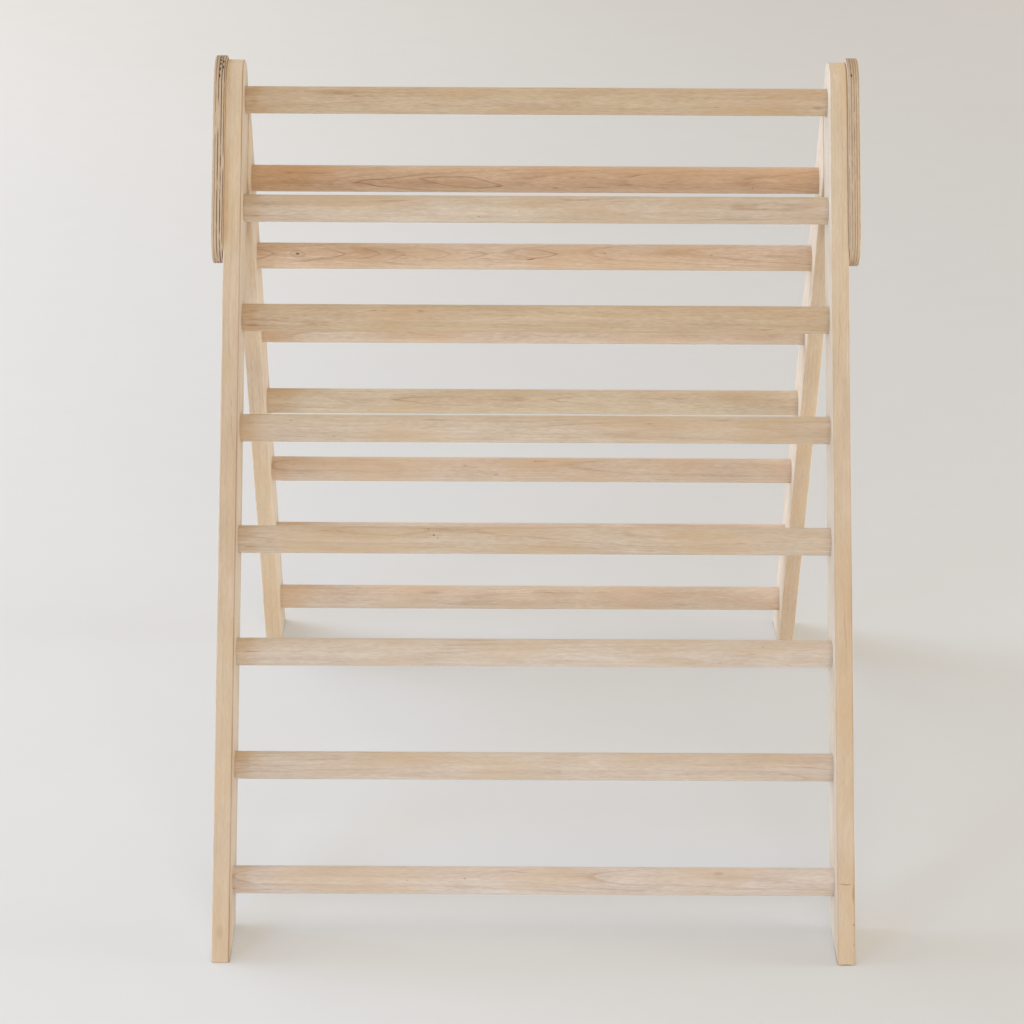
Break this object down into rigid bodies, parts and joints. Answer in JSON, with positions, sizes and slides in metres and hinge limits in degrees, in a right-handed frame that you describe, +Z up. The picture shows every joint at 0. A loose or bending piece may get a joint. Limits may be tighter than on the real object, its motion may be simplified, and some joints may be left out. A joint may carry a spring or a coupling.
{
  "type": "climbing triangle",
  "caption": "Wooden A-frame climbing triangle for children: two ladders of round rungs between board legs, joined at the apex by plywood plates, folding flat about the first rear rung.",
  "frame": {"origin": "on the floor, midway between the four feet, under the apex", "axes": "+X along the rungs, to the right as seen from the front ladder; +Y from the front ladder to the rear ladder; +Z up"},
  "size_m": [0.66, 0.9072, 0.806],
  "materials": {
    "maple": "pale maple, fine sanded, bare or thinly oiled",
    "birch_ply": "birch plywood, sanded, dark glue lines on its edges",
    "steel": "zinc plated",
    "brass": "plain turned",
    "nylon": "natural nylon"
  },
  "bodies": {
    "front_ladder": {"front_left_leg": "maple", "front_right_leg": "maple", "front_rung_1": "maple", "front_rung_2": "maple", "front_rung_3": "maple", "front_rung_4": "maple", "front_rung_5": "maple", "front_rung_6": "maple", "front_rung_7": "maple", "front_rung_8": "maple", "left_plate": "birch_ply", "right_plate": "birch_ply", "left_plate_bolts": "steel", "right_plate_bolts": "steel", "left_plate_inserts": "brass", "right_plate_inserts": "brass", "front_left_rung_screws": "steel", "front_right_rung_screws": "steel"},
    "rear_ladder": {"rear_left_leg": "maple", "rear_right_leg": "maple", "rear_rung_1": "maple", "rear_rung_2": "maple", "rear_rung_3": "maple", "rear_rung_4": "maple", "rear_rung_5": "maple", "rear_rung_6": "maple", "rear_rung_7": "maple", "left_pivot_bolt": "steel", "right_pivot_bolt": "steel", "left_pivot_insert": "brass", "right_pivot_insert": "brass", "left_pivot_washer": "nylon", "right_pivot_washer": "nylon", "rear_left_rung_screws": "steel", "rear_right_rung_screws": "steel"}
  },
  "joints": [
    {"name": "fold", "type": "hinge", "parent": "front_ladder", "child": "rear_ladder", "pos_m": [0, 0.05274, 0.66339], "axis": [-1, 0, 0], "range_deg": [0, 57]}
  ]
}
